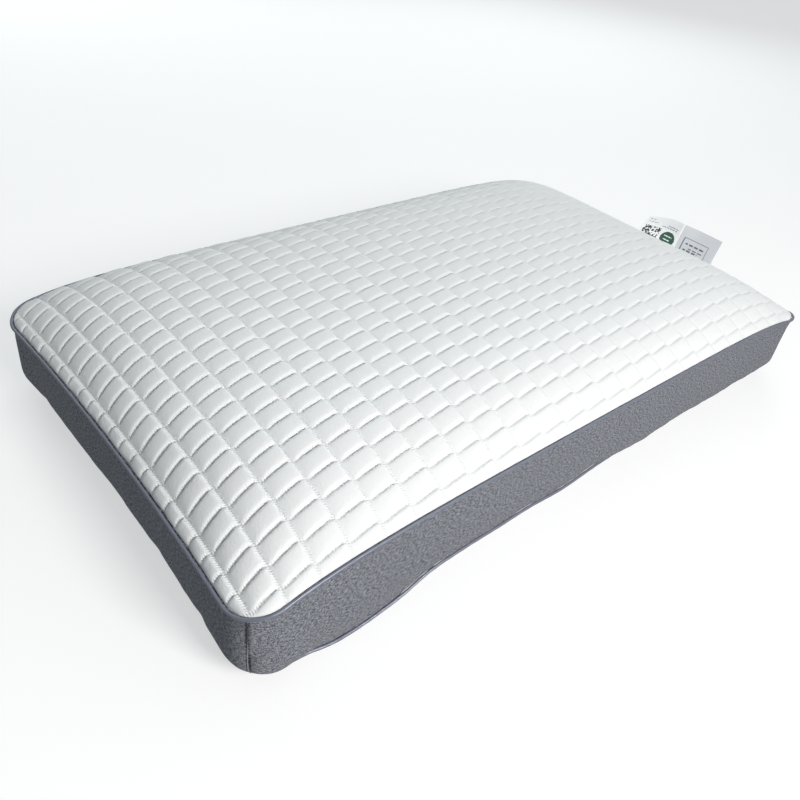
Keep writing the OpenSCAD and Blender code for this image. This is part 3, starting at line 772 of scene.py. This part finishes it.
# Topstitching of the zip's window, 3 mm from the folded edges
back_q = even_q(JOIN_BACK_RIGHT, JOIN_BACK_LEFT, 0.0034)[0][2:-2]
for label, z in (("upper", zip_high + 0.003), ("lower", zip_low - 0.003)):
    row = wall(back_q, WALL_INSET - 0.00015, np.full(back_q.shape, z))
    stitch_row(f"zip_topstitching_{label}", row, np.gradient(row, axis=0), 0.0026, 0.0003, THREAD)

# ---- the piping ----

PIPING_SIDES = 16
GATHERS = ((0.0091, 0.00004, 0), (0.0153, 0.00005, 2))


def piping(name, radius, finish, flat, seam, node_name):
    """A tube all the way round a seam: a circle carried along the outline, with slight gathers.
    """
    q, s = even_q(0, 8, 0.0028)
    q, around = q[:-1, None], np.arange(PIPING_SIDES) * 2 * np.pi / PIPING_SIDES
    gather = waves(s[:-1, None] + 0.004 * np.sin(around), GATHERS)
    r = radius + gather
    x, y = pulled(*flat(q, PIPING_INSET - r * np.cos(around)))
    z = seam(q) + r * np.sin(around)
    v = np.arange(PIPING_SIDES + 1) * 2 * np.pi * radius / PIPING_SIDES
    piece = grid_piece(name, np.stack([x, y, z], -1), s, v, True, True)
    return done(piece, finish, [node_name])


for edge, flat, seam in (("top", top_flat, top_seam), ("bottom", low_flat, low_seam)):
    for part, radius, finish, slot, node_part in (
            ("satin", PIPING_R, SATIN, "silver_satin", "cover"),
            ("filler", CORD_R, CORD, "piping_cord", "cord")):
        piping(f"{edge}_piping_{part}", radius, finish, flat, seam,
               f"{edge}_piping_{node_part}")

# ---- the zip ----

TAPE_T = 0.0006
for side in ("upper", "lower"):
    low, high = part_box(f"zip_tape_{side}")
    tape_x = np.linspace(high.x, low.x, 220)
    tape_z = np.linspace(low.z, high.z, 8)
    ripple = 0.00012 * np.sin(tape_x / 0.019)[:, None] * np.ones(8)
    tape = np.stack(np.broadcast_arrays(tape_x[:, None], high.y + ripple, tape_z), -1)
    piece = grid_piece(f"zip_tape_{side}_weave", tape, high.x - tape_x, tape_z - low.z)
    thicken(piece, TAPE_T)
    done(piece, TAPE, [f"zip_tape_{side}"])

COIL_PITCH, FILAMENT_R = 0.0014, 0.00034
for side, sign, phase in (("upper", 1, 0.0), ("lower", -1, np.pi)):
    low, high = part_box(f"zip_coil_{side}")
    turns = int((high.x - low.x) / COIL_PITCH)
    angle = np.linspace(0, 2 * np.pi * turns, 10 * turns + 1)
    middle_z = (low.z + high.z) / 2 - sign * 0.00015
    half_y, half_z = (high.y - low.y) / 2 - FILAMENT_R, (high.z - low.z) / 2 + 0.0002 - FILAMENT_R
    path = np.stack([
        low.x + angle * COIL_PITCH / (2 * np.pi),
        (low.y + high.y) / 2 + half_y * np.sin(angle + phase),
        middle_z + half_z * np.cos(angle + phase)], -1)
    way = np.gradient(path, axis=0)
    way /= np.linalg.norm(way, axis=1, keepdims=True)
    out = np.stack([0 * angle, np.sin(angle + phase), np.cos(angle + phase)], -1)
    out -= way * (out * way).sum(1, keepdims=True)
    out /= np.linalg.norm(out, axis=1, keepdims=True)
    beside = np.cross(way, out)
    around = np.arange(5) * 2 * np.pi / 5
    tube = path[:, None] + FILAMENT_R * (
        np.cos(around)[:, None] * out[:, None] + np.sin(around)[:, None] * beside[:, None])
    rows, cols = tube.shape[:2]
    i, j = grid(rows, cols, loop_cols=True)
    faces = (i * cols + j % cols).tolist()
    faces += [list(range(cols))[::-1], list(range((rows - 1) * cols, rows * cols))]
    done(mesh_piece(f"zip_coil_{side}_nylon", tube, faces), COIL, [f"zip_coil_{side}"])

# ---- the labels ----

WHITE, GREY_RIBBON, INK, GREEN, DARK = "#FDFDFD", "#CDD0D4", "#121418", "#0C5237", "#4B4F56"


def in_box(u, v, left, right, bottom, top):
    return (u > left) & (u < right) & (v > bottom) & (v < top)


def care_print(u, v):
    """A generic print in millimetres, u along the seam from the front edge and v up from it:
    bars for words, a block of chequers and a plain green oval."""
    colour = np.empty(u.shape + (4,))
    colour[:] = linear(WHITE)
    code = in_box(u, v, 28, 52, 3, 22)
    column, row = np.floor(u / 1.6), np.floor(v / 1.6)
    cell = column * 7.13 + row * 3.71 + column * row * 1.37
    colour[code & (cell % 2.0 < 1.05)] = linear(INK)
    oval = ((u - 14) / 10.5) ** 2 + ((v - 13) / 8.5) ** 2 < 1
    colour[oval] = linear(GREEN)
    for left, right, height in (
            (38, 53, 27), (44, 54, 31), (4, 22, 27), (6, 30, 24.5), (8, 20, 15), (9, 19, 11)):
        bar = in_box(u, v, left, right, height, height + 1.1) & (np.floor(u / 0.9) % 5 != 0)
        colour[bar] = linear(WHITE if height < 20 else "#8A8E94")
    return colour


def plain_print(u, v):
    """A generic print: a thin rectangle and a few bars inside it."""
    colour = np.empty(u.shape + (4,))
    colour[:] = linear(GREY_RIBBON)
    frame_line = in_box(u, v, 10.5, 43, 7, 24.5) & ~in_box(u, v, 11.5, 42, 8, 23.5)
    colour[frame_line] = linear(DARK)
    for left, right, height in ((15, 39, 17), (15, 33, 12.5), (20, 39, 9.5)):
        bar = in_box(u, v, left, right, height, height + 1.6) & (np.floor(u / 1.7) % 4 != 0)
        colour[bar] = linear(DARK)
    return colour


def label(name, low_y, width, length, leans, bend, curl, ink, node_name):
    """A ribbon out of the top seam of the right end: up past the piping, then leaning out by an
    angle that changes along the seam, bending further out towards its free end and curling
    across it."""
    y = np.linspace(low_y, low_y + width, int(width / 0.0006))[:, None]
    s = np.linspace(0, 1, int(length / 0.0006))
    share = (y - low_y) / width
    lean = np.radians(leans[0] + share * (leans[1] - leans[0]))
    edge_x = HALF_L - PANEL_INSET + 0 * y
    root_x = pulled(edge_x, y)[0] + 0.0004
    root_z = crown_z(edge_x, y) - SEAM_DROP + 0.0019
    angle = lean - np.radians(bend) * s**2
    step = length / len(s)
    x = root_x + np.cumsum(np.cos(angle), axis=1) * step - step * np.cos(lean)
    z = root_z + 0.002 * np.minimum(1, s * 8)
    z = z + np.cumsum(np.sin(angle), axis=1) * step - step * np.sin(lean)
    wave = curl * s**2 * np.sin(np.pi * share) + 0.0004 * s * np.sin(9 * share + 2)
    points = np.stack(np.broadcast_arrays(
        x + wave * np.sin(lean), y, z - wave * np.cos(lean)), -1)
    # The printed side faces the pillow
    piece = grid_piece(name, points[:, ::-1], (y - low_y)[:, 0], (s * length)[::-1])
    colours = ink((y - low_y) / MM + 0 * s, s * length / MM + 0 * y)[:, ::-1]
    layer = piece.data.color_attributes.new("print", "FLOAT_COLOR", "POINT")
    layer.data.foreach_set("color", colours.astype(np.float32).ravel())
    thicken(piece, 0.0003)
    done(piece, RIBBON, [node_name])
    return piece


label("care_label_ribbon", -0.0275, 0.0575, 0.037, (78, 30), 6, 0.001, care_print, "care_label")
label("plain_label_ribbon", -0.077, 0.049, 0.037, (78, 76), 10, 0.003, plain_print, "plain_label")

# ---- nodes of the frame that keep their shape ----

KEPT = {
    "foam_core": FOAM, "inner_cover_upper": JERSEY, "inner_cover_lower": JERSEY,
    "zip_end_stops": ALUMINIUM,
    "zip_slider": PAINTED, "zip_pull": PAINTED}
for name, finish in KEPT.items():
    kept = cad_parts[name]
    if not kept.material_slots:
        kept.data.materials.append(finish)
    for part in kept.material_slots:
        part.material = finish

# ---- floor, light and camera ----

FLOOR_PAINT, floor_tree, floor_shader = material(
    "matt_white_board", "#BABABA", 0.9, Emission_Color=linear("#FBFCFC"), Emission_Strength=0.56)
grain = grains(floor_tree, add(floor_tree, "TexCoord", out="Object"), 0.02, 3.0)
floor_tree.links.new(
    tinted(floor_tree, "#BCBCBC", "#B4B4B4", grain, 0.1), floor_shader.inputs["Base Color"])
turn = np.linspace(0, 2 * np.pi, 97)[:-1]
circle = np.stack([np.cos(turn), np.sin(turn)], -1)
floor = mesh_piece("floor", np.c_[5.0 * circle, 0 * turn - 0.0005], [list(range(len(turn)))])
floor.data.materials.append(FLOOR_PAINT)
# A pale paper backdrop all round: an arc of radius 1.2 m up from the floor, then a straight
# wall
PAPER = material(
    "matt_white_paper", "#202020", 0.9,
    Emission_Color=linear("#FBFCFC"), Emission_Strength=0.70)[0]
bend_up = np.linspace(0, np.pi / 2, 12)
profile = np.vstack([
    [[4.9, -0.002]], np.c_[4.9 + 1.2 * np.sin(bend_up), 1.2 - 1.2 * np.cos(bend_up)], [[6.1, 6.0]]])
reach, height = profile[:, None, 0], profile[:, None, 1]
wall_points = np.stack(np.broadcast_arrays(
    reach * circle[:, 0], reach * circle[:, 1], height), -1)
around_u, up_v = turn[[*range(96), 0]], np.linspace(0, 1, len(profile))
backdrop = grid_piece("backdrop", wall_points.transpose(1, 0, 2), around_u, up_v, True, False)
backdrop.data.materials.append(PAPER)
# Both are bright for the eye but throw no light or shade on the piece
floor.visible_diffuse = floor.visible_glossy = False
backdrop.visible_diffuse = backdrop.visible_glossy = backdrop.visible_shadow = False

scene = bpy.context.scene
world = bpy.data.worlds.new("studio")
scene.world = world
world.use_nodes = True
world.node_tree.nodes["Background"].inputs["Color"].default_value = linear("#EFF4F8")
world.node_tree.nodes["Background"].inputs["Strength"].default_value = 0.31


def soft_light(name, place, target, size, power, colour):
    """A square area light that faces a target."""
    lamp = bpy.data.lights.new(name, "AREA")
    lamp.size, lamp.energy, lamp.color = size, power, linear(colour)[:3]
    obj = bpy.data.objects.new(name, lamp)
    obj.location = place
    obj.rotation_euler = (Vector(target) - Vector(place)).to_track_quat("-Z", "Y").to_euler()
    scene.collection.objects.link(obj)


soft_light("key", (-0.12, -1.25, 0.85), (-0.05, -0.05, 0.05), 0.5, 19.5, "#FFFCFA")
soft_light("fill", (1.5, 1.1, 1.1), (0, 0, 0.05), 1.2, 9, "#EDF8F7")
soft_light("rim", (0.1, 2.0, 0.9), (0, 0, 0.05), 1.2, 10, "#EDF6F8")

camera = bpy.data.cameras.new("camera")
camera.sensor_width, camera.lens = 36, 34.476
camera.clip_start = 0.01
camera_object = bpy.data.objects.new("camera", camera)
right = Vector((0.75948, -0.63980, 0.11767))
up = Vector((0.32520, 0.53006, 0.78312))
back = -Vector((0.56341, 0.55650, -0.61063))
turned = Matrix((right, up, back)).transposed().to_4x4()
camera_object.matrix_world = Matrix.Translation((-0.4814, -0.4240, 0.4556)) @ turned
scene.collection.objects.link(camera_object)
scene.camera = camera_object
scene.view_settings.view_transform = "Standard"
